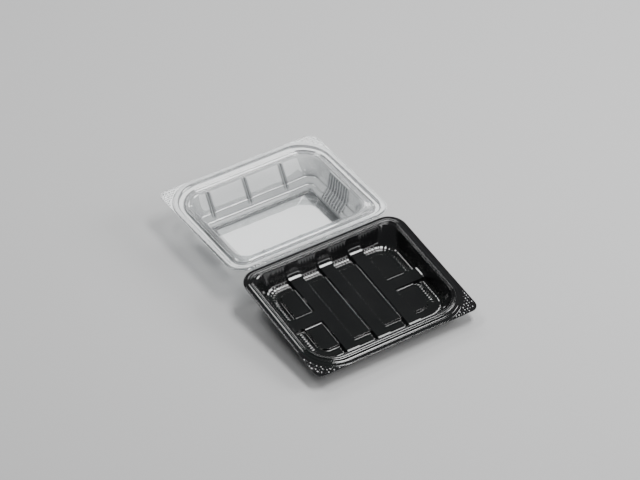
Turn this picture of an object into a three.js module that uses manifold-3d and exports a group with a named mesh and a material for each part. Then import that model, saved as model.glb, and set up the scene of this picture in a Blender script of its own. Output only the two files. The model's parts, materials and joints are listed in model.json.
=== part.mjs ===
// A takeaway meal container of one formed sheet: a black tray and a clear lid that share a living hinge.
// It lies open on a table. The deeper lid stands flat, and the tray leans from the hinge down to its front.
// Millimetres, +Z up, X along the hinge, +Y toward the lid, origin under the middle of the open container.

import * as THREE from "three";
import { mergeVertices } from "three/addons/utils/BufferGeometryUtils.js";
import Module from "manifold-3d";

// Driving dimensions
const halfWidth = 80;
const halfDepth = 129.2;
const sheet = 0.5;
const foldLift = 0.2;
const blackEdge = 1.85;
const clearEdge = 0.3;
const tipRadius = 7;
const foldCornerRadius = 16;

const trayDepth = 15.5;
const panelRise = 1.8;
const stripRise = 3.4;
const stripWidth = 13;
const stripPitch = 30.6;
const crossMiddle = 63;
const panelHalfWidth = 53.7;
const panelBack = 27.7;
const panelFront = 97;
const panelCorner = 8;
const stripCorner = 1;
const padSlope = 0.35;
const padOverlap = 12;

const lidDepth = 29.3;
const footReach = 106.8;

const cornerSteps = 7;
const padCornerSteps = 4;
const cutHeight = 40;
const cutMargin = 2;

const wasm = await Module();
wasm.setup();

// Each station is one ring of the formed surface, from the flange's edge in to the floor.
// side, back and front are how far it lies in from the outline: beside, at the hinge, and opposite it.
// backRadius and frontRadius round its corners at the hinge and opposite it.
function station(z, side, back, front, backRadius, frontRadius) {
  return { z, side, back, front, backRadius, frontRadius };
}

const trayStations = [
  station(0, 0, blackEdge, 0, foldCornerRadius, tipRadius),
  station(0, 0.7, 2.4, 0.7, 15, 29),
  station(0, 4.2, 4.3, 4.3, 12, 28),
  station(0.3, 5.1, 5.1, 5.1, 11, 27),
  station(-0.1, 5.9, 5.8, 6.2, 11, 26.5),
  station(-0.1, 6.7, 6.5, 8.1, 10.5, 25.5),
  station(1.1, 7.3, 6.9, 8.7, 10, 25),
  station(1.1, 8.2, 7.8, 9.7, 10, 24),
  station(0.1, 8.8, 8.4, 10.6, 10, 23.5),
  station(0, 9.7, 9.3, 11.8, 10.5, 22.5),
  station(-1.5, 10.4, 10.2, 12.8, 12, 21.5),
  station(-7.8, 12.4, 13.3, 16.6, 14.5, 19),
  station(1.5 - trayDepth, 14.4, 16.3, 20.4, 17, 17),
  station(0.5 - trayDepth, 15.1, 17, 21.2, 17, 16.5),
  station(-trayDepth, 16.2, 18.1, 22.4, 16, 15.5),
];

const lidStations = [
  station(0, 0, clearEdge, 0, foldCornerRadius, tipRadius),
  station(0, 0.7, 0.9, 0.7, 15.5, 33),
  station(0, 5, 4.7, 5, 13, 29.5),
  station(-1.2, 5.7, 5.4, 5.8, 12.5, 29),
  station(-1.2, 8.9, 8.6, 10.7, 11, 26),
  station(0, 9.5, 9.2, 11.4, 11, 25),
  station(-0.4, 10.6, 10.3, 12.8, 11, 23.5),
  station(0, 11.8, 11.6, 14.2, 11, 22),
  station(-0.4, 13, 12.9, 15.6, 11, 20),
  station(-0.2, 14.9, 15, 17.3, 12, 16),
  station(-1.6, 16.2, 16.5, 18.8, 13, 13),
  station(-13.8, 17.2, 23.4, 25.8, 12, 12),
  station(-18.9, 19, 26.3, 28.5, 10, 10),
  station(-24.4, 22.8, 30.8, 33, 6, 6),
  station(1.2 - lidDepth, 26.2, 34.1, 36.2, 3, 3),
  station(-lidDepth, 27.5, 35.4, 37.5, 1.6, 1.6),
];

// A level ring of four straight sides with round corners, anticlockwise from above.
function roundedRing(low, high, nearRadius, farRadius, level, steps) {
  const corners = [
    { x: high.x, y: low.y, radius: nearRadius, turn: -90 },
    { x: high.x, y: high.y, radius: farRadius, turn: 0 },
    { x: low.x, y: high.y, radius: farRadius, turn: 90 },
    { x: low.x, y: low.y, radius: nearRadius, turn: 180 },
  ];
  const points = [];
  for (const corner of corners) {
    const centreX = corner.x + (corner.x === high.x ? -corner.radius : corner.radius);
    const centreY = corner.y + (corner.y === high.y ? -corner.radius : corner.radius);
    for (let step = 0; step <= steps; step += 1) {
      const angle = THREE.MathUtils.degToRad(corner.turn + (90 * step) / steps);
      const x = centreX + corner.radius * Math.cos(angle);
      const y = centreY + corner.radius * Math.sin(angle);
      points.push(new THREE.Vector3(x, y, level));
    }
  }
  return points;
}

function ringPoints(place) {
  const low = { x: place.side - halfWidth, y: place.back };
  const high = { x: halfWidth - place.side, y: halfDepth - place.front };
  return roundedRing(low, high, place.backRadius, place.frontRadius, place.z, cornerSteps);
}

// A closed solid through rings that run from its lowest, innermost one outward and up.
function loftSolid(rings) {
  const count = rings[0].length;
  const positions = rings.flat().flatMap((point) => [point.x, point.y, point.z]);
  const indices = [];
  for (let level = 0; level + 1 < rings.length; level += 1) {
    for (let side = 0; side < count; side += 1) {
      const next = (side + 1) % count;
      const a = level * count + side;
      const b = level * count + next;
      indices.push(a, b, b + count);
      indices.push(a, b + count, a + count);
    }
  }
  const middle = new THREE.Vector3();
  const lowMiddle = positions.length / 3;
  rings[0].forEach((point) => middle.addScaledVector(point, 1 / count));
  positions.push(middle.x, middle.y, middle.z);
  const highMiddle = positions.length / 3;
  middle.set(0, 0, 0);
  rings.at(-1).forEach((point) => middle.addScaledVector(point, 1 / count));
  positions.push(middle.x, middle.y, middle.z);
  const lastRing = (rings.length - 1) * count;
  for (let side = 0; side < count; side += 1) {
    const next = (side + 1) % count;
    indices.push(lowMiddle, next, side);
    indices.push(highMiddle, lastRing + side, lastRing + next);
  }
  const geometry = new THREE.BufferGeometry();
  geometry.setAttribute("position", new THREE.Float32BufferAttribute(positions, 3));
  geometry.setIndex(indices);
  return solidFrom(geometry);
}

function solidFrom(geometry) {
  geometry.deleteAttribute("normal");
  geometry.deleteAttribute("uv");
  const merged = mergeVertices(geometry, 1e-5);
  const vertProperties = new Float32Array(merged.attributes.position.array);
  const triVerts = new Uint32Array(merged.index.array);
  return new wasm.Manifold(new wasm.Mesh({ numProp: 3, vertProperties, triVerts }));
}

function geometryFrom(solid) {
  const mesh = solid.getMesh();
  const geometry = new THREE.BufferGeometry();
  geometry.setAttribute("position", new THREE.Float32BufferAttribute(mesh.vertProperties, 3));
  geometry.setIndex(new THREE.Uint32BufferAttribute(mesh.triVerts, 1));
  geometry.computeVertexNormals();
  return geometry;
}

// The same ring on the sheet's under side: down under flat parts, and outward behind walls.
function underStation(stations, index) {
  const here = stations[index];
  const before = stations[Math.max(index - 1, 0)];
  const after = stations[Math.min(index + 1, stations.length - 1)];
  const inward = after.side - before.side;
  const rise = after.z - before.z;
  const length = Math.hypot(inward, rise);
  const flat = index === 0 || index === stations.length - 1;
  const outward = flat ? 0 : (-rise / length) * sheet;
  const drop = flat ? sheet : (inward / length) * sheet;
  return station(
    here.z - drop,
    here.side - outward,
    here.back - outward,
    here.front - outward,
    here.backRadius + outward,
    here.frontRadius + outward,
  );
}

// The formed sheet: what lies over its under side, without what lies over its upper side.
// Pads are raised from the floor, and each leaves a pocket under the sheet.
function formedSheet(stations, pads) {
  const under = stations.map((place, index) => underStation(stations, index));
  const edge = { ...stations[0], z: cutHeight };
  const past = {
    ...stations[0],
    side: -cutMargin,
    back: stations[0].back - cutMargin,
    front: -cutMargin,
  };
  const over = { ...past, z: cutHeight + cutMargin };
  let formed = loftSolid([...under.reverse(), edge].map(ringPoints));
  let space = loftSolid([...stations.toReversed(), past, over].map(ringPoints));
  for (const pad of pads) {
    formed = formed.subtract(padSolid(pad, sheet));
    space = space.subtract(padSolid(pad, 0));
  }
  return formed.subtract(space);
}

// A low block with sloping sides, drawn in by the sheet's thickness where it is the pocket below.
function padSolid(pad, inset) {
  const foot = padRing(pad, inset, -trayDepth - cutMargin);
  const top = padRing(pad, inset + padSlope, pad.top - inset);
  return loftSolid([foot, top]);
}

function padRing(pad, draw, level) {
  const low = { x: pad.left + draw, y: pad.near + draw };
  const high = { x: pad.right - draw, y: pad.far - draw };
  const radius = pad.corner - draw;
  return roundedRing(low, high, radius, radius, level, padCornerSteps);
}

// The tray's floor: one low island of panels, three strips from wall to wall, and a band across each side.
function trayPads() {
  const island = {
    left: -panelHalfWidth,
    right: panelHalfWidth,
    near: panelBack,
    far: panelFront,
    top: panelRise - trayDepth,
    corner: panelCorner,
  };
  const raised = { top: stripRise - trayDepth, corner: stripCorner };
  const pads = [island];
  for (const column of [-1, 0, 1]) {
    const left = column * stripPitch - stripWidth / 2;
    const right = left + stripWidth;
    pads.push({ ...raised, left, right, near: -padOverlap, far: halfDepth + padOverlap });
  }
  const near = crossMiddle - stripWidth / 2;
  const far = near + stripWidth;
  const wide = halfWidth + padOverlap;
  pads.push({ ...raised, left: -wide, right: -stripPitch, near, far });
  pads.push({ ...raised, left: stripPitch, right: wide, near, far });
  return pads;
}

function namedMesh(name, solid, looks) {
  const mesh = new THREE.Mesh(geometryFrom(solid), new THREE.MeshStandardMaterial(looks));
  mesh.name = name;
  return mesh;
}

function makeTray() {
  const looks = { color: 0x131313, roughness: 0.2, metalness: 0 };
  return namedMesh("tray", formedSheet(trayStations, trayPads()), looks);
}

function makeLid() {
  const looks = { color: 0xdfe5e6, roughness: 0.08, metalness: 0 };
  return namedMesh("lid", formedSheet(lidStations, []), looks);
}

// The tray leans so that the front of its floor and the lid's floor stand on the same table.
function leanAngle() {
  const foldHeight = lidDepth + sheet + foldLift;
  const reach = Math.hypot(footReach, trayDepth + sheet + foldLift);
  const below = Math.atan2(trayDepth + sheet + foldLift, footReach);
  return Math.asin(foldHeight / reach) - below;
}

const group = new THREE.Group();
const fold = new THREE.Group();
const leaning = new THREE.Group();
const turned = new THREE.Group();
fold.position.z = lidDepth + sheet + foldLift;
leaning.rotation.x = leanAngle();
turned.rotation.z = Math.PI;

const tray = makeTray();
const lid = makeLid();
tray.position.z = -foldLift;
lid.position.z = -foldLift;
turned.add(tray);
leaning.add(turned);
fold.add(leaning, lid);
group.add(fold);

// The open container stands with its middle over the origin.
const box = new THREE.Box3().setFromObject(group, true);
fold.position.y = -(box.min.y + box.max.y) / 2;

export default group;
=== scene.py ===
import json
import math

import bpy
import numpy as np
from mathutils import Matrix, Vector


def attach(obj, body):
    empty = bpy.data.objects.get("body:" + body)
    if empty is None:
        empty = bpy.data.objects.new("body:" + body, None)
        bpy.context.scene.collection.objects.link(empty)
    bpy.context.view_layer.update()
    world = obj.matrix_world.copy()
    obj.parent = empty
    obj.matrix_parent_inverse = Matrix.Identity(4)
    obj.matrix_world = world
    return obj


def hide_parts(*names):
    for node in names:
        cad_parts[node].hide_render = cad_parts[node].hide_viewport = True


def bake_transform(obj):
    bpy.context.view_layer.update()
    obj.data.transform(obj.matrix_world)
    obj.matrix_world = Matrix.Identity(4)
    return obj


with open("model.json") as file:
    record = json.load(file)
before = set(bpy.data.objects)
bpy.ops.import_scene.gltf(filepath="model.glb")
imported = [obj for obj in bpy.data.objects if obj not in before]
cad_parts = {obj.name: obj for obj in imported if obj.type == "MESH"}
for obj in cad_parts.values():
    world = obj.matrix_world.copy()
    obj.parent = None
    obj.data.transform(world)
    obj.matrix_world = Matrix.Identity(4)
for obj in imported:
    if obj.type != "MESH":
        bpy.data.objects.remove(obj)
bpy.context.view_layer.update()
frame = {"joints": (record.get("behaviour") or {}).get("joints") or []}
print("frame: loaded")

# lengths are millimetres until a mesh is made, and metres in the finishes and the studio
mm = 0.001

viewPoint = {
    "eye": (-916.1, -1431.3, 1445.7),
    "target": (4.5, -0.1, 29.8),
    "lens": 147.06,
    "sensor": 36.0,
    "clip": (0.05, 50),
}


def makeCamera(look):
    lensData = bpy.data.cameras.new("viewCamera")
    lensData.lens = look["lens"]
    lensData.sensor_width = look["sensor"]
    lensData.clip_start, lensData.clip_end = look["clip"]
    camera = bpy.data.objects.new("viewCamera", lensData)
    bpy.context.scene.collection.objects.link(camera)
    eye = Vector(look["eye"]) * mm
    target = Vector(look["target"]) * mm
    camera.location = eye
    camera.rotation_euler = (target - eye).to_track_quat("-Z", "Y").to_euler()
    bpy.context.scene.camera = camera


makeCamera(viewPoint)
print("camera: placed")

# both halves of the pack share these
pack = {
    "halfWidth": 80.0,
    "halfDepth": 129.2,
    "thickness": 0.5,
    "foldLift": 0.2,
    "lidDepth": 29.3,
    "trayDepth": 15.5,
    "footReach": 106.8,
    "arcSteps": 3,
    "bendShare": 0.48,  # the most that a rounded bend takes of the stretch beside it
    "sharpAngle": 40,
}

foldPoint = Vector(frame["joints"][0]["pos_m"]) / mm


def leanAngle():
    low = pack["trayDepth"] + pack["thickness"] + pack["foldLift"]
    reach = math.hypot(pack["footReach"], low)
    return math.asin(foldPoint.z / reach) - math.atan2(low, pack["footReach"])


lean = leanAngle()


# both take x along the hinge, the distance from the fold, and the height over the flange
def placeLid(points):
    x, away, up = points[..., 0], points[..., 1], points[..., 2]
    y = foldPoint.y + away
    z = foldPoint.z - pack["foldLift"] + up
    return np.stack([x, y, z], -1) * mm


def placeTray(points):
    x, away, up = points[..., 0], points[..., 1], points[..., 2] - pack["foldLift"]
    y = foldPoint.y - away * math.cos(lean) - up * math.sin(lean)
    z = foldPoint.z - away * math.sin(lean) + up * math.cos(lean)
    return np.stack([x, y, z], -1) * mm


# a station is one row of the sheet: its height, how far it lies in at the side, back and front,
# its back and front corner radius, how far it is rounded, and how many rows follow it
def profileRows(stations):
    arcSteps = pack["arcSteps"]
    rows = []
    for index, here in enumerate(stations):
        values = np.array(here[:6], float)
        bend = here[6]
        if index in (0, len(stations) - 1) or bend == 0:
            ends = [values]
        else:
            legs = []
            for other in (stations[index - 1], stations[index + 1]):
                away = np.array(other[:6], float) - values
                length = math.hypot(away[0], away[1])
                legs.append(values + away * min(bend / length, pack["bendShare"]))
            ends = []
            for t in np.linspace(0, 1, arcSteps + 1):
                outer = (1 - t) ** 2 * legs[0]
                ends.append(outer + 2 * t * (1 - t) * values + t * t * legs[1])
        if rows:
            extra = stations[index - 1][7]
            start = rows[-1]
            for step in range(1, extra + 1):
                rows.append(start + (ends[0] - start) * step / (extra + 1))
        rows.extend(ends)
    return rows


def cornerPoints(start, corner, end, radius, count):
    start, corner, end = (np.array(p, float) for p in (start, corner, end))
    first = (start - corner) / np.linalg.norm(start - corner)
    last = (end - corner) / np.linalg.norm(end - corner)
    straightIn = np.linalg.norm(start - corner) - radius
    straightOut = np.linalg.norm(end - corner) - radius
    arc = radius * math.pi / 2
    centre = corner + (first + last) * radius
    points = []
    for step in range(1, count):
        along = (straightIn + arc + straightOut) * step / count
        if along < straightIn:
            points.append(start - first * along)
        elif along < straightIn + arc:
            angle = (along - straightIn) / radius
            turned = centre - last * radius * math.cos(angle)
            points.append(turned - first * radius * math.sin(angle))
        else:
            points.append(end - last * (straightIn + arc + straightOut - along))
    return points


# one row of the sheet as points, anticlockwise from above, starting at the hinge
def rowPoints(row, plan):
    height, side, back, front, backCorner, frontCorner = row
    right = pack["halfWidth"] - side
    far = pack["halfDepth"] - front
    xs, ss = plan["across"], plan["along"]
    outer, near, away = xs[-1], ss[0], ss[-1]
    backRound = (backCorner, plan["backSteps"])
    frontRound = (frontCorner, plan["frontSteps"])
    points = [(x, back) for x in xs]
    points += cornerPoints((outer, back), (right, back), (right, near), *backRound)
    points += [(right, s) for s in ss]
    points += cornerPoints((right, away), (right, far), (outer, far), *frontRound)
    points += [(x, far) for x in xs[::-1]]
    points += cornerPoints((-outer, far), (-right, far), (-right, away), *frontRound)
    points += [(-right, s) for s in ss[::-1]]
    points += cornerPoints((-right, near), (-right, back), (-outer, back), *backRound)
    flat = np.array(points, float)
    return np.column_stack([flat, np.full(len(flat), height)])


def gridNormals(grid):
    around = np.roll(grid, -1, axis=1) - np.roll(grid, 1, axis=1)
    inward = np.gradient(grid, axis=0)
    normals = np.cross(around, inward)
    return normals / np.maximum(np.linalg.norm(normals, axis=2, keepdims=True), 1e-9)


# positions along a line, from stretches of (end, number of steps)
def spacedLine(start, stretches):
    line = [start]
    for end, steps in stretches:
        line += list(np.linspace(line[-1], end, steps + 1)[1:])
    return np.array(line)


def mirroredLine(stretches):
    half = spacedLine(0, stretches)
    return np.concatenate([-half[:0:-1], half])


def smoothStep(value):
    t = np.clip(value, 0, 1)
    return t * t * (3 - 2 * t)


def softBump(distance, width):
    return smoothStep(1 - np.abs(distance) / width)


# the floor inside the last row: a grid whose lines meet that row, with fans in its four corners
def floorFaces(row, plan, heightAt):
    height, side, back, front, backCorner, frontCorner = row
    right = pack["halfWidth"] - side
    far = pack["halfDepth"] - front
    xs, ss = plan["across"], plan["along"]
    rings = plan["floorRings"]
    shares = np.arange(1, rings + 1) / rings
    backLines = ss[0] - (ss[0] - back) * shares
    frontLines = ss[-1] + (far - ss[-1]) * shares
    sideLines = xs[-1] + (right - xs[-1]) * shares
    longLines = np.concatenate([backLines[::-1], ss, frontLines])
    wideLines = np.concatenate([-sideLines[::-1], xs, sideLines])
    quads = []

    def addGrid(xLine, sLine):
        for i in range(len(xLine) - 1):
            for j in range(len(sLine) - 1):
                x0, x1, s0, s1 = xLine[i], xLine[i + 1], sLine[j], sLine[j + 1]
                quads.append([(x0, s0), (x1, s0), (x1, s1), (x0, s1)])

    addGrid(xs, longLines)
    addGrid(wideLines[: rings + 1], ss)
    addGrid(wideLines[-rings - 1:], ss)
    outer, near, away = xs[-1], ss[0], ss[-1]
    backRound = (backCorner, plan["backSteps"])
    frontRound = (frontCorner, plan["frontSteps"])
    corners = [
        ((outer, near), (outer, back), (right, back), (right, near), backRound),
        ((outer, away), (right, away), (right, far), (outer, far), frontRound),
        ((-outer, away), (-outer, far), (-right, far), (-right, away), frontRound),
        ((-outer, near), (-right, near), (-right, back), (-outer, back), backRound),
    ]
    for centre, start, corner, end, rounding in corners:
        edge = [start] + cornerPoints(start, corner, end, *rounding) + [end]
        edge = [np.array(p, float) for p in edge]
        centre = np.array(centre)
        for ring in range(rings):
            fromShare, toShare = ring / rings, (ring + 1) / rings
            for a, b in zip(edge[:-1], edge[1:]):
                face = [
                    centre + (a - centre) * toShare,
                    centre + (b - centre) * toShare,
                    centre + (b - centre) * fromShare,
                ]
                if ring:
                    face.append(centre + (a - centre) * fromShare)
                quads.append([tuple(p) for p in face])
    faces = []
    for quad in quads:
        flat = np.array(quad)
        faces.append(np.column_stack([flat, heightAt(flat[:, 0], flat[:, 1])]))
    return faces


def sheetMesh(name, grid, floor, place, turned):
    rows, columns = grid.shape[:2]
    loops = []
    for r in range(rows - 1):
        for c in range(columns):
            d = (c + 1) % columns
            loops.append(np.array([grid[r, c], grid[r, d], grid[r + 1, d], grid[r + 1, c]]))
    loops += floor
    keys, verts, faces = {}, [], []
    for loop in loops:
        face = []
        for point in loop:
            key = (round(point[0], 3), round(point[1], 3), round(point[2], 3))
            if key not in keys:
                keys[key] = len(verts)
                verts.append(point)
            if keys[key] not in face:
                face.append(keys[key])
        if len(face) > 2:
            faces.append(face[::-1] if turned else face)
    mesh = bpy.data.meshes.new(name)
    mesh.from_pydata([tuple(p) for p in place(np.array(verts))], [], faces)
    mesh.update()
    piece = bpy.data.objects.new(name, mesh)
    bpy.context.scene.collection.objects.link(piece)
    thicken = piece.modifiers.new("sheet", "SOLIDIFY")
    thicken.thickness = pack["thickness"] * mm
    thicken.offset = -1
    applyModifiers(piece)
    smoothMesh(piece, pack["sharpAngle"])
    return piece


def applyModifiers(piece):
    bpy.context.view_layer.update()
    graph = bpy.context.evaluated_depsgraph_get()
    done = bpy.data.meshes.new_from_object(piece.evaluated_get(graph))
    piece.modifiers.clear()
    piece.data = done


def smoothMesh(piece, sharpDegrees):
    piece.data.shade_smooth()
    piece.data.set_sharp_from_angle(angle=math.radians(sharpDegrees))


tray = {
    "stripPitch": 30.6,
    "stripHalf": 6.5,
    "edgeWidth": 1.1,
    "footCurve": 1.6,
    "stripTop": -12.1,
    "panelTop": -13.7,
    "bandMiddle": 63.0,
    "ribHeight": 0.42,
    "frontRibShare": 0.25,
    "frontFade": 8.0,
    "fluteHeight": 0.13,
    "fluteInsets": (10.3, 14.9),
    "snapHeight": 0.9,
    "snapPlace": (63, 15.2),
    "snapDepth": 2.6,
    "snapSquash": 1.4,
    "snapWidth": 3.4,
    "ribBands": ((15.9, 2.4, 1.0), (21.4, 1.5, 1.3)),
    "ribsPerStretch": (6, 3, 7, 8),
    "farColumn": 45.7,
    "nearRow": 35.7,
    "lastRow": 89.0,
    "tabDrop": 0.35,
    "tabRing": (34, 0.95),
}

trayStations = [
    (-0.35, 0, 1.85, 0, 16, 7, 0, 5),
    (-0.35, 0.5, 2.2, 0.5, 15.4, 34.6, 0.1, 0),
    (-0.05, 0.95, 2.6, 0.95, 15, 34, 0.12, 1),
    (-0.2, 4.3, 4.3, 4.4, 12, 28, 0.25, 0),
    (0.2, 4.9, 4.9, 5, 11.4, 27.4, 0.5, 0),
    (0.25, 6.6, 6.4, 8, 10.6, 25.6, 0.25, 0),
    (1.1, 7.2, 6.9, 8.7, 10, 25, 0.7, 0),
    (1.1, 8.2, 7.8, 9.7, 10, 24, 0.35, 0),
    (0, 8.7, 8.3, 10.4, 10, 23.6, 0.15, 0),
    (0, 9.8, 9.4, 11.9, 10.5, 22.4, 0.15, 0),
    (-1.5, 10.4, 10.2, 12.8, 12, 21.5, 0.3, 2),
    (-7.8, 12.4, 13.3, 16.6, 14.5, 19, 0, 6),
    (-15.5, 14.9, 17, 21.3, 17, 16.8, 2.8, 3),
    (-15.5, 24.9, 26.3, 30.8, 8.6, 8.6, 0, 1),
    (-15.5, 25.7, 27.1, 31.6, 8.6, 8.6, 0.7, 0),
    (-13.7, 26.1, 27.5, 32, 8.2, 8.2, 0.2, 0),
    (-13.7, 26.3, 27.7, 32.2, 8, 8, 0, 0),
]

# the same rows where a strip or band runs out over the gutter to the wall, from the wall's top down
stripStations = trayStations[:-7] + [
    (-1.5, 10.2, 10, 12.6, 12, 21.5, 0.3, 2),
    (-5.2, 11.2, 11.8, 14.8, 13.8, 19.7, 0, 6),
    (-12.1, 13, 14.4, 18.1, 16, 18, 5, 3),
    (-12.1, 24.9, 26.3, 30.8, 8.6, 8.6, 0, 1),
    (-12.1, 25.7, 27.1, 31.6, 8.6, 8.6, 0.7, 0),
    (-12.1, 26.1, 27.5, 32, 8.2, 8.2, 0.2, 0),
    (-12.1, 26.3, 27.7, 32.2, 8, 8, 0, 0),
]

edgeIn = tray["stripHalf"] - tray["edgeWidth"] / 2
edgeOut = tray["stripHalf"] + tray["edgeWidth"] / 2
ribSteps = 4
edgeSteps = 6
stripSteps = 4
halfStripSteps = 3
betweenRibs, outerRibs, sideRibs, cornerRibs = tray["ribsPerStretch"]
trayPlan = {
    "across": mirroredLine([
        (edgeIn, halfStripSteps),
        (edgeOut, edgeSteps),
        (tray["stripPitch"] - edgeOut, betweenRibs * ribSteps),
        (tray["stripPitch"] - edgeIn, edgeSteps),
        (tray["stripPitch"] + edgeIn, stripSteps),
        (tray["stripPitch"] + edgeOut, edgeSteps),
        (tray["farColumn"], outerRibs * ribSteps),
    ]),
    "along": spacedLine(tray["nearRow"], [
        (tray["bandMiddle"] - edgeOut, sideRibs * ribSteps),
        (tray["bandMiddle"] - edgeIn, edgeSteps),
        (tray["bandMiddle"] + edgeIn, stripSteps),
        (tray["bandMiddle"] + edgeOut, edgeSteps),
        (tray["lastRow"], sideRibs * ribSteps),
    ]),
    "backSteps": 32,
    "frontSteps": 32,
    "floorRings": 3,
}


# a pad's side: hollow at the foot and sharp at the top, from 0 to 1
def padEdge(gap):
    return np.clip(0.5 - gap / tray["edgeWidth"], 0, 1) ** tray["footCurve"]


# how much of a strip or band is raised at each point, from 0 to 1
def raisedShare(x, s):
    share = np.zeros_like(x)
    for column in (-1, 0, 1):
        gap = np.abs(x - column * tray["stripPitch"]) - tray["stripHalf"]
        share = np.maximum(share, padEdge(gap))
    beside = np.abs(x) > tray["stripPitch"]
    gap = np.abs(s - tray["bandMiddle"]) - tray["stripHalf"]
    return np.maximum(share, padEdge(gap) * beside)


def trayFloorHeight(x, s):
    share = raisedShare(x, s)
    return tray["panelTop"] + (tray["stripTop"] - tray["panelTop"]) * share


# ribs follow each other round the gutter, and stop at the strips and bands
def ribPhases(plan):
    def between(line, stretches):
        phases = np.zeros(len(line))
        for low, high, count in stretches:
            inside = (line >= low - 1e-6) & (line <= high + 1e-6)
            phases[inside] = (line[inside] - low) / (high - low) * count
        return phases

    pitch, middle = tray["stripPitch"], tray["bandMiddle"]
    gaps = [
        (edgeOut, pitch - edgeOut, betweenRibs),
        (pitch + edgeOut, tray["farColumn"], outerRibs),
    ]
    gaps += [(-high, -low, count) for low, high, count in gaps]
    sides = [
        (tray["nearRow"], middle - edgeOut, sideRibs),
        (middle + edgeOut, tray["lastRow"], sideRibs),
    ]
    across = between(plan["across"], gaps)
    along = between(plan["along"], sides)
    back = np.arange(1, plan["backSteps"]) / plan["backSteps"] * cornerRibs
    front = np.arange(1, plan["frontSteps"]) / plan["frontSteps"] * cornerRibs
    return np.concatenate([across, back, along, front, across, front, along, back])


def shapeTray():
    rows = profileRows(trayStations)
    stripRows = profileRows(stripStations)
    gutterGrid = np.array([rowPoints(row, trayPlan) for row in rows])
    stripGrid = np.array([rowPoints(row, trayPlan) for row in stripRows])
    normals = gridNormals(gutterGrid)
    x, s, h = gutterGrid[..., 0], gutterGrid[..., 1], gutterGrid[..., 2]
    raised = raisedShare(x, s)
    wave = 0.5 - 0.5 * np.cos(2 * math.pi * ribPhases(trayPlan)[None, :])
    inset = np.array([row[1] for row in rows])[:, None]
    gutter = np.zeros_like(inset)
    for middle, width, share in tray["ribBands"]:
        gutter += softBump(inset - middle, width) * share
    atFront = smoothStep((s - tray["lastRow"]) / tray["frontFade"])
    gutter = gutter * (1 - (1 - tray["frontRibShare"]) * atFront)
    top, foot = tray["fluteInsets"]
    wall = smoothStep(inset - top) * smoothStep(foot - inset)
    lift = wave * (gutter * tray["ribHeight"] + wall * tray["fluteHeight"])
    grid = gutterGrid + normals * lift[..., None]
    grid = grid + (stripGrid - grid) * raised[..., None]
    snapX, snapS = tray["snapPlace"]
    for side in (-1, 1):
        level = (h + tray["snapDepth"]) * tray["snapSquash"]
        distance = np.hypot(np.hypot(x - side * snapX, s - snapS), level)
        bump = tray["snapHeight"] * softBump(distance, tray["snapWidth"])
        grid += normals * bump[..., None]
    return rows, grid


trayRows, trayGrid = shapeTray()
trayFloor = floorFaces(trayRows[-1], trayPlan, trayFloorHeight)
traySheet = sheetMesh("traySheet", trayGrid, trayFloor, placeTray, True)
print("tray:", len(traySheet.data.polygons), "faces")

lid = {
    "grooves": (-41.2, -4.3, 32.8),
    "grooveHalf": 1.9,
    "grooveRise": 1.3,
    "grooveFoot": -23.0,
    "grooveFade": 3.0,
    "grooveSteps": 8,
    "stepsBefore": (2, 24, 24),
    "grooveReach": 46.0,
    "straightHalf": 45.0,
    "straightEnds": (37.1, 90.0),
    "endSteps": (6, 8),
    "nearWall": 40.0,
    "sideWall": 50.0,
    "wallTop": 1.4,
    "wallFade": 1.2,
    "wallInset": 15.6,
    "ribStart": 46.6,
    "ribEnd": 77.0,
    "ribCount": 8,
    "ribRise": 0.85,
    "ribFoot": -27.4,
    "ribFade": 1.5,
    "ribSteps": 8,
    "snapRise": 1.0,
    "snapDepth": 5.0,
    "snapSquash": 0.9,
    "snapWidth": 3.4,
    "snapPlaces": ((-61.8, 109.5), (60, 108)),
    "tabDrop": 0.35,
    "tabRing": (33, 0.95),
}

lidStations = [
    (-0.35, 0, 0.3, 0, 16, 7, 0, 5),
    (-0.35, 0.5, 0.7, 0.5, 15.7, 33.5, 0.1, 0),
    (0, 0.95, 1.15, 0.95, 15.3, 33, 0.12, 1),
    (0, 5, 4.7, 5, 13, 29.5, 0.25, 0),
    (-1.2, 5.7, 5.4, 5.8, 12.5, 29, 0.3, 1),
    (-1.2, 8.9, 8.6, 10.7, 11, 26, 0.3, 0),
    (0, 9.5, 9.2, 11.4, 11, 25, 0.4, 0),
    (-0.8, 10.6, 10.3, 12.8, 11, 23.5, 0.3, 0),
    (0, 11.8, 11.6, 14.2, 11, 22, 0.45, 0),
    (-0.8, 13, 12.9, 15.6, 11, 20, 0.4, 0),
    (-0.1, 14.9, 15, 17.3, 12, 17.5, 0.7, 0),
    (-1.6, 16.2, 16.5, 18.8, 13, 17, 0.7, 5),
    (-13.8, 17.2, 23.4, 25.8, 12, 14.5, 2.2, 2),
    (-18.5, 18.6, 25.9, 28.1, 10.3, 10.3, 0.5, 0),
    (-18.9, 19.4, 26.9, 29.1, 9.6, 9.6, 0.35, 4),
    (-24.2, 22.7, 30.6, 32.8, 6.1, 6.1, 0.4, 0),
    (-24.5, 23.6, 31.5, 33.7, 5.3, 5.3, 0.4, 3),
    (-28, 25.8, 33.7, 35.9, 3.2, 3.2, 0.3, 0),
    (-28.15, 26.9, 34.8, 37, 2.4, 2.4, 0.2, 0),
    (-29.3, 27.4, 35.3, 37.5, 1.7, 1.7, 0, 0),
]


def lidAcross():
    stretches = []
    for groove, before in zip(lid["grooves"], lid["stepsBefore"]):
        stretches.append((groove - lid["grooveHalf"], before))
        stretches.append((groove + lid["grooveHalf"], lid["grooveSteps"]))
    stretches.append((lid["straightHalf"], lid["grooveSteps"]))
    return spacedLine(-lid["straightHalf"], stretches)


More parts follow.
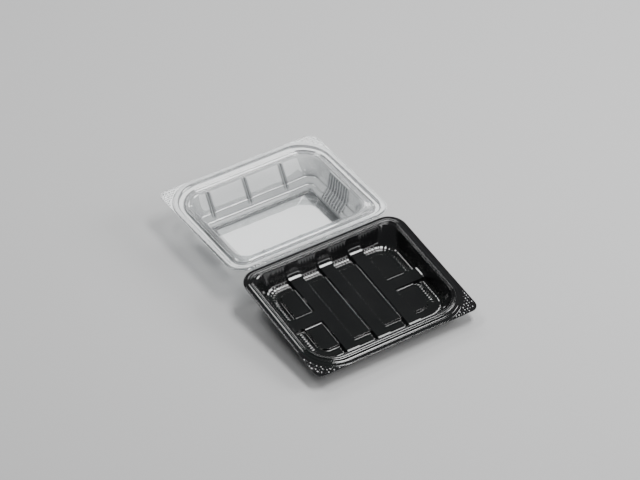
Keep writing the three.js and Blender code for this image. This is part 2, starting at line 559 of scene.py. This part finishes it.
lidNear, lidFar = lid["straightEnds"]
nearSteps, farSteps = lid["endSteps"]
lidPlan = {
    "across": lidAcross(),
    "along": spacedLine(lidNear, [
        (lid["ribStart"], nearSteps),
        (lid["ribEnd"], lid["ribCount"] * lid["ribSteps"]),
        (lidFar, farSteps),
    ]),
    "backSteps": 28,
    "frontSteps": 36,
    "floorRings": 1,
}


def windowHeight(x, s):
    return np.full_like(x, -pack["lidDepth"])


def shapeLid():
    rows = profileRows(lidStations)
    grid = np.array([rowPoints(row, lidPlan) for row in rows])
    normals = gridNormals(grid)
    x, s, h = grid[..., 0], grid[..., 1], grid[..., 2]
    inset = np.array([row[1] for row in rows])[:, None]
    onWall = smoothStep((-h - lid["wallTop"]) / lid["wallFade"]) * (inset > lid["wallInset"])
    lift = np.zeros_like(x)
    facing = (np.abs(x) < lid["grooveReach"]) & ((s > lidFar) | (s < lid["nearWall"]))
    grooveEnd = smoothStep((h - lid["grooveFoot"]) / lid["grooveFade"])
    for groove in lid["grooves"]:
        across = softBump(x - groove, lid["grooveHalf"])
        lift += across * facing * onWall * grooveEnd * lid["grooveRise"]
    beside = (s > lid["ribStart"]) & (s < lid["ribEnd"]) & (np.abs(x) > lid["sideWall"])
    phase = (s - lid["ribStart"]) / (lid["ribEnd"] - lid["ribStart"]) * lid["ribCount"]
    wave = 0.5 - 0.5 * np.cos(2 * math.pi * phase)
    ribEnd = smoothStep((h - lid["ribFoot"]) / lid["ribFade"])
    lift += wave * beside * onWall * ribEnd * lid["ribRise"]
    for snapX, snapS in lid["snapPlaces"]:
        level = (h + lid["snapDepth"]) * lid["snapSquash"]
        distance = np.hypot(np.hypot(x - snapX, s - snapS), level)
        lift += lid["snapRise"] * softBump(distance, lid["snapWidth"])
    grid += normals * lift[..., None]
    return rows, grid


lidRows, lidGrid = shapeLid()
lidFloor = floorFaces(lidRows[-1], lidPlan, windowHeight)
lidSheet = sheetMesh("lidSheet", lidGrid, lidFloor, placeLid, False)
print("lid:", len(lidSheet.data.polygons), "faces")

hinge = {
    "halfLength": 63.5,
    "trayEdge": 1.85,
    "lidEdge": 0.3,
    "thickness": 0.35,
    "ribPitch": 1.6,
    "ribRise": 0.12,
    "stepsPerRib": 4,
    "dip": 0.1,
    "overlap": 0.05,
    "steps": 10,
    "sharpAngle": 50,
}


def makeHinge():
    half, pitch, overlap = hinge["halfLength"], hinge["ribPitch"], hinge["overlap"]
    count = int(round(2 * half / pitch)) * hinge["stepsPerRib"]
    xs = np.linspace(-half, half, count + 1)
    trayEnd = placeTray(np.array([0, hinge["trayEdge"] + overlap, -tray["tabDrop"]]))
    lidEnd = placeLid(np.array([0, hinge["lidEdge"] + overlap, -lid["tabDrop"]]))
    verts, faces = [], []
    rows = hinge["steps"] + 1
    for x in xs:
        rib = 0.5 - 0.5 * math.cos(2 * math.pi * (x + half) / pitch)
        for row in range(rows):
            t = row / hinge["steps"]
            point = trayEnd + (lidEnd - trayEnd) * t
            middle = math.sin(math.pi * t)
            rise = (rib * hinge["ribRise"] - hinge["dip"]) * middle * mm
            verts.append((x * mm, point[1], point[2] + rise))
    for i in range(count):
        for row in range(rows - 1):
            a = i * rows + row
            faces.append([a, a + rows, a + rows + 1, a + 1])
    mesh = bpy.data.meshes.new("hingeWeb")
    mesh.from_pydata(verts, [], faces)
    mesh.update()
    piece = bpy.data.objects.new("hingeWeb", mesh)
    bpy.context.scene.collection.objects.link(piece)
    thicken = piece.modifiers.new("sheet", "SOLIDIFY")
    thicken.thickness = hinge["thickness"] * mm
    thicken.offset = -1
    applyModifiers(piece)
    smoothMesh(piece, hinge["sharpAngle"])
    return piece, trayEnd, lidEnd


hingeWeb, hingeStart, hingeStop = makeHinge()
print("hinge: made")

dots = {
    "tabPitch": 2.6,
    "tabHalf": 0.95,
    "tabTop": 0.28,
    "tabRise": 0.3,
    "riseSpread": 0.3,
    "tabTip": 7.0,
    "margin": 1.5,
    "sink": 0.06,
    "sides": 8,
    "domeRings": ((1.0, 0.0), (0.66, 0.4), (0.33, 0.8)),
    "sharpAngle": 60,
    "rimRise": 0.24,
    "rimPitch": 1.56,
    "rimRadii": (0.62, 0.5),
    "farRows": 3,
    "farCount": 62,
    "farInset": 1.8,
    "farStep": 1.25,
    "nearRows": ((2.2, 0.0), (3.7, 0.0), (7.2, -1.2)),
    "nearCount": 74,
}


def addDome(verts, faces, centre, radii, rise):
    sides, rings = dots["sides"], dots["domeRings"]
    start = len(verts)
    for share, height in rings:
        for k in range(sides):
            angle = 2 * math.pi * k / sides
            x = centre[0] + radii[0] * share * math.cos(angle)
            s = centre[1] + radii[1] * share * math.sin(angle)
            verts.append((x, s, centre[2] - dots["sink"] + (rise + dots["sink"]) * height))
    verts.append((centre[0], centre[1], centre[2] + rise))
    for ring in range(len(rings) - 1):
        for k in range(sides):
            a = start + ring * sides + k
            b = start + ring * sides + (k + 1) % sides
            faces.append([a, b, b + sides, a + sides])
    top = start + len(rings) * sides
    last = top - sides
    for k in range(sides):
        faces.append([last + k, last + (k + 1) % sides, top])
    faces.append([start + k for k in range(sides)][::-1])


# a small pyramid with a blunt top
def addPyramid(verts, faces, centre, rise):
    start = len(verts)
    for half, height in ((dots["tabHalf"], -dots["sink"]), (dots["tabTop"], rise)):
        for x, s in ((1, 1), (-1, 1), (-1, -1), (1, -1)):
            verts.append((centre[0] + x * half, centre[1] + s * half, centre[2] + height))
    for k in range(4):
        a, b = start + k, start + (k + 1) % 4
        faces.append([a, b, b + 4, a + 4])
    faces.append([start + 4, start + 5, start + 6, start + 7])
    faces.append([start + 3, start + 2, start + 1, start])


# pyramids fill a front corner between the tip's edge and the first ridge of the rim
def tabDots(verts, faces, innerRadius, innerInset, level):
    pitch, margin = dots["tabPitch"], dots["margin"]
    tipX = pack["halfWidth"] - dots["tabTip"]
    tipS = pack["halfDepth"] - dots["tabTip"]
    ringX = pack["halfWidth"] - innerInset - innerRadius
    ringS = pack["halfDepth"] - innerInset - innerRadius
    steps = int(innerRadius / pitch) + 2
    for i in range(steps):
        for j in range(steps):
            x = pack["halfWidth"] - margin - i * pitch
            s = pack["halfDepth"] - margin - j * pitch
            fromTip = math.hypot(x - tipX, s - tipS)
            pastTip = x > tipX and s > tipS and fromTip > dots["tabTip"] - margin
            fromRing = math.hypot(x - ringX, s - ringS) - innerRadius
            if pastTip or x < ringX or s < ringS or fromRing < margin:
                continue
            # neighbours differ a little in height, so they glint unevenly
            rise = dots["tabRise"] * (1 - dots["riseSpread"] * ((3 * i + 5 * j) % 7) / 6)
            for side in (-1, 1):
                addPyramid(verts, faces, (side * x, s, level), rise)


def dotsPiece(name, verts, faces, flat, place, turned):
    mesh = bpy.data.meshes.new(name)
    order = [f[::-1] for f in faces] if turned else faces
    mesh.from_pydata([tuple(p) for p in place(np.array(verts, float))], [], order)
    mesh.update()
    piece = bpy.data.objects.new(name, mesh)
    bpy.context.scene.collection.objects.link(piece)
    if flat:
        mesh.shade_flat()
    else:
        smoothMesh(piece, dots["sharpAngle"])
    return piece


def makeTabDots(name, ring, level, place, turned):
    verts, faces = [], []
    tabDots(verts, faces, *ring, level)
    return dotsPiece(name, verts, faces, True, place, turned)


def rimDots(verts, faces, count, row, s, level):
    for k in range(count):
        x = (k - (count - 1) / 2 + 0.5 * (row % 2)) * dots["rimPitch"]
        addDome(verts, faces, (x, s, level), dots["rimRadii"], dots["rimRise"])


# knurls lie along the lid's far flange and its flange at the hinge
def makeRimKnurls():
    verts, faces = [], []
    for row in range(dots["farRows"]):
        s = pack["halfDepth"] - dots["farInset"] - row * dots["farStep"]
        rimDots(verts, faces, dots["farCount"], row, s, 0)
    for row, (s, level) in enumerate(dots["nearRows"]):
        rimDots(verts, faces, dots["nearCount"], row, s, level)
    return dotsPiece("rimKnurls", verts, faces, False, placeLid, False)


trayDots = makeTabDots("trayDots", tray["tabRing"], -tray["tabDrop"], placeTray, True)
lidDots = makeTabDots("lidDots", lid["tabRing"], -lid["tabDrop"], placeLid, False)
rimKnurls = makeRimKnurls()
print("dots: made")


def newMaterial(name):
    material = bpy.data.materials.new(name)
    material.use_nodes = True
    nodes = material.node_tree.nodes
    nodes.clear()
    return material, nodes, material.node_tree.links


def noiseNode(nodes, links, coordinates, scale, detail):
    node = nodes.new("ShaderNodeTexNoise")
    node.inputs["Scale"].default_value = scale
    node.inputs["Detail"].default_value = detail
    links.new(coordinates, node.inputs["Vector"])
    return node.outputs["Fac"]


def rangeNode(nodes, links, value, low, high, fromLow=0.0, fromHigh=1.0):
    node = nodes.new("ShaderNodeMapRange")
    node.inputs["From Min"].default_value = fromLow
    node.inputs["From Max"].default_value = fromHigh
    node.inputs["To Min"].default_value = low
    node.inputs["To Max"].default_value = high
    links.new(value, node.inputs["Value"])
    return node.outputs["Result"]


blackLook = {
    "dark": (0.0055, 0.0057, 0.006, 1),
    "pale": (0.0075, 0.0077, 0.008, 1),
    "roughLow": 0.09,
    "roughHigh": 0.13,
    "coat": 0.7,
    "coatRough": 0.08,
    "ior": 1.58,
    "cloudScale": 55,
    "cloudDetail": 3,
    "cloudRange": (0.35, 0.65),
    "wave": 0.06,
    "waveHeight": 0.0001,
    "waveScale": 160,
    "waveDetail": 2,
}


def blackPlastic():
    material, nodes, links = newMaterial("glossBlackPlastic")
    place = nodes.new("ShaderNodeTexCoord").outputs["Object"]
    shader = nodes.new("ShaderNodeBsdfPrincipled")
    output = nodes.new("ShaderNodeOutputMaterial")
    cloud = noiseNode(nodes, links, place, blackLook["cloudScale"], blackLook["cloudDetail"])
    slow = noiseNode(nodes, links, place, blackLook["waveScale"], blackLook["waveDetail"])
    mix = nodes.new("ShaderNodeMix")
    mix.data_type = "RGBA"
    mix.inputs["A"].default_value = blackLook["dark"]
    mix.inputs["B"].default_value = blackLook["pale"]
    links.new(cloud, mix.inputs["Factor"])
    links.new(mix.outputs["Result"], shader.inputs["Base Color"])
    roughness = (blackLook["roughLow"], blackLook["roughHigh"])
    rough = rangeNode(nodes, links, cloud, *roughness, *blackLook["cloudRange"])
    links.new(rough, shader.inputs["Roughness"])
    bump = nodes.new("ShaderNodeBump")
    bump.inputs["Strength"].default_value = blackLook["wave"]
    bump.inputs["Distance"].default_value = blackLook["waveHeight"]
    links.new(slow, bump.inputs["Height"])
    links.new(bump.outputs["Normal"], shader.inputs["Normal"])
    shader.inputs["IOR"].default_value = blackLook["ior"]
    shader.inputs["Coat Weight"].default_value = blackLook["coat"]
    shader.inputs["Coat Roughness"].default_value = blackLook["coatRough"]
    links.new(shader.outputs["BSDF"], output.inputs["Surface"])
    return material


clearLook = {
    "tint": (0.975, 0.985, 0.985, 1),
    "haze": (0.92, 0.94, 0.95, 1),
    "sheetHaze": (0.09, 0.12),
    "rimHaze": (0.7, 0.8),
    "tabHaze": (0.16, 0.2),
    "glow": 0.45,
    "milkRough": 0.3,
    "cloudScale": 70,
    "cloudDetail": 3,
    "cloudRange": (0.3, 0.7),
    # painted shade: the dark colour below and the next three entries darken the see-through colour
    # where the sheet bends and where a wall is steep
    "bendShadeColour": (0.25, 0.26, 0.27, 1),
    "bendOut": (0.505, 0.54),
    "bendIn": (0.495, 0.46),
    "wallSteepShade": (0.35, 0.01, 0.2),
    "tabSteepShade": (1.0, 0.86, 0.98),
    # painted shade: the tab stipples' sloped facets get the dark shade colour, so each pyramid
    # looks dark between bright lines
    "wave": 0.1,
    "waveHeight": 0.0002,
    "waveScale": 70,
    "waveDetail": 2,
    "roughness": 0.05,
    "ior": 1.58,
    "bothFaces": 1.8,
}


def mathNode(nodes, links, operation, first, second):
    node = nodes.new("ShaderNodeMath")
    node.operation = operation
    node.use_clamp = True
    links.new(first, node.inputs[0])
    links.new(second, node.inputs[1])
    return node.outputs["Value"]


# painted shade: the clear sheet's see-through colour turns darker where it bends and where a wall
# is steep
def bendShade(nodes, links, steepness):
    bend = nodes.new("ShaderNodeNewGeometry").outputs["Pointiness"]
    outward = rangeNode(nodes, links, bend, 0, 1, *clearLook["bendOut"])
    inward = rangeNode(nodes, links, bend, 0, 1, *clearLook["bendIn"])
    facing = nodes.new("ShaderNodeSeparateXYZ")
    links.new(nodes.new("ShaderNodeTexCoord").outputs["Normal"], facing.inputs["Vector"])
    level = mathNode(nodes, links, "MULTIPLY", facing.outputs["Z"], facing.outputs["Z"])
    most, fromLevel, toLevel = steepness
    steep = rangeNode(nodes, links, level, most, 0, fromLevel, toLevel)
    bends = mathNode(nodes, links, "ADD", outward, inward)
    return mathNode(nodes, links, "ADD", bends, steep)


def clearPlastic(name, hazeLow, hazeHigh, steepness):
    material, nodes, links = newMaterial(name)
    place = nodes.new("ShaderNodeTexCoord").outputs["Object"]
    output = nodes.new("ShaderNodeOutputMaterial")
    cloud = noiseNode(nodes, links, place, clearLook["cloudScale"], clearLook["cloudDetail"])
    slow = noiseNode(nodes, links, place, clearLook["waveScale"], clearLook["waveDetail"])
    bump = nodes.new("ShaderNodeBump")
    bump.inputs["Strength"].default_value = clearLook["wave"]
    bump.inputs["Distance"].default_value = clearLook["waveHeight"]
    links.new(slow, bump.inputs["Height"])
    # painted shade: the see-through colour is mixed towards the dark shade colour at bends and on
    # steep faces
    shade = bendShade(nodes, links, steepness)
    colour = nodes.new("ShaderNodeMix")
    colour.data_type = "RGBA"
    colour.inputs["A"].default_value = clearLook["tint"]
    colour.inputs["B"].default_value = clearLook["bendShadeColour"]
    links.new(shade, colour.inputs["Factor"])
    through = nodes.new("ShaderNodeBsdfTransparent")
    links.new(colour.outputs["Result"], through.inputs["Color"])
    milk = nodes.new("ShaderNodeBsdfPrincipled")
    milk.inputs["Base Color"].default_value = clearLook["haze"]
    milk.inputs["Roughness"].default_value = clearLook["milkRough"]
    links.new(bump.outputs["Normal"], milk.inputs["Normal"])
    glow = nodes.new("ShaderNodeBsdfTranslucent")
    glow.inputs["Color"].default_value = clearLook["haze"]
    cloudy = nodes.new("ShaderNodeMixShader")
    cloudy.inputs["Fac"].default_value = clearLook["glow"]
    links.new(milk.outputs["BSDF"], cloudy.inputs[1])
    links.new(glow.outputs["BSDF"], cloudy.inputs[2])
    haze = rangeNode(nodes, links, cloud, hazeLow, hazeHigh, *clearLook["cloudRange"])
    body = nodes.new("ShaderNodeMixShader")
    links.new(haze, body.inputs["Fac"])
    links.new(through.outputs["BSDF"], body.inputs[1])
    links.new(cloudy.outputs["Shader"], body.inputs[2])
    mirror = nodes.new("ShaderNodeBsdfAnisotropic")
    mirror.inputs["Color"].default_value = (1, 1, 1, 1)
    mirror.inputs["Roughness"].default_value = clearLook["roughness"]
    links.new(bump.outputs["Normal"], mirror.inputs["Normal"])
    grazing = nodes.new("ShaderNodeFresnel")
    grazing.inputs["IOR"].default_value = clearLook["ior"]
    links.new(bump.outputs["Normal"], grazing.inputs["Normal"])
    # only the faces toward the viewer mirror, for both faces of the thin sheet
    side = nodes.new("ShaderNodeNewGeometry").outputs["Backfacing"]
    outward = rangeNode(nodes, links, side, clearLook["bothFaces"], 0)
    gloss = mathNode(nodes, links, "MULTIPLY", grazing.outputs["Fac"], outward)
    skin = nodes.new("ShaderNodeMixShader")
    links.new(gloss, skin.inputs["Fac"])
    links.new(body.outputs["Shader"], skin.inputs[1])
    links.new(mirror.outputs["BSDF"], skin.inputs[2])
    links.new(skin.outputs["Shader"], output.inputs["Surface"])
    return material


black = blackPlastic()
clear = clearPlastic("clearPlastic", *clearLook["sheetHaze"], clearLook["wallSteepShade"])
frosted = clearPlastic("frostedPlastic", *clearLook["rimHaze"], clearLook["wallSteepShade"])
# the tab stipples' material darkens their sloped facets with painted shade
stippled = clearPlastic("stippledPlastic", *clearLook["tabHaze"], clearLook["tabSteepShade"])
for piece, material in (
    (traySheet, black),
    (trayDots, black),
    (lidSheet, clear),
    (lidDots, stippled),
    (rimKnurls, frosted),
    (hingeWeb, clear),
):
    piece.data.materials.clear()
    piece.data.materials.append(material)
print("materials: set")

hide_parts("tray")
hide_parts("lid")
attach(traySheet, "tray")
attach(trayDots, "tray")
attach(lidSheet, "lid")
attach(lidDots, "lid")
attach(rimKnurls, "lid")
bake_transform(hingeWeb)

studio = {
    "floorHalf": 3.0,
    "floorGap": 0.0001,
    "floorColour": (0.56, 0.56, 0.56, 1),
    "floorRough": 0.9,
    "world": (0.11, 0.113, 0.117, 1),
    "worldStrength": 1.0,
    "lights": (
        ("keyLight", (0.45, -0.12, 1.3), (0.1, 0, 0), (0.7, 0.34), 15),
        ("sideLight", (-0.35, 0.62, 1.3), (-0.1, 0, 0), (0.5, 0.3), 6),
        ("fillLight", (1.5, -0.75, 0.9), (0, 0, 0), (1.0, 0.7), 24),
        ("frontLight", (0.62, -1.25, 0.4), (0, 0.1, 0.02), (0.95, 0.26), 2.4),
        ("backLight", (0.9, 2.0, 1.55), (0, 0.05, 0), (2.2, 0.6), 26),
    ),
}


def makeFloor():
    half = studio["floorHalf"]
    mesh = bpy.data.meshes.new("studioFloor")
    level = -studio["floorGap"]
    corners = [(-half, -half), (half, -half), (half, half), (-half, half)]
    mesh.from_pydata([(x, y, level) for x, y in corners], [], [(0, 1, 2, 3)])
    floor = bpy.data.objects.new("studioFloor", mesh)
    bpy.context.scene.collection.objects.link(floor)
    material, nodes, links = newMaterial("studioFloor")
    shader = nodes.new("ShaderNodeBsdfPrincipled")
    output = nodes.new("ShaderNodeOutputMaterial")
    shader.inputs["Base Color"].default_value = studio["floorColour"]
    shader.inputs["Roughness"].default_value = studio["floorRough"]
    links.new(shader.outputs["BSDF"], output.inputs["Surface"])
    mesh.materials.append(material)


def softLight(name, place, target, size, power):
    data = bpy.data.lights.new(name, "AREA")
    data.shape = "RECTANGLE"
    data.size, data.size_y = size
    data.energy = power
    light = bpy.data.objects.new(name, data)
    bpy.context.scene.collection.objects.link(light)
    light.location = place
    light.rotation_euler = (Vector(target) - Vector(place)).to_track_quat("-Z", "Y").to_euler()


makeFloor()
for lightName, lightPlace, lightTarget, lightSize, lightPower in studio["lights"]:
    softLight(lightName, lightPlace, lightTarget, lightSize, lightPower)

world = bpy.data.worlds.new("studioWorld")
bpy.context.scene.world = world
world.use_nodes = True
worldShade = world.node_tree.nodes["Background"]
worldShade.inputs["Color"].default_value = studio["world"]
worldShade.inputs["Strength"].default_value = studio["worldStrength"]
print("studio: set")
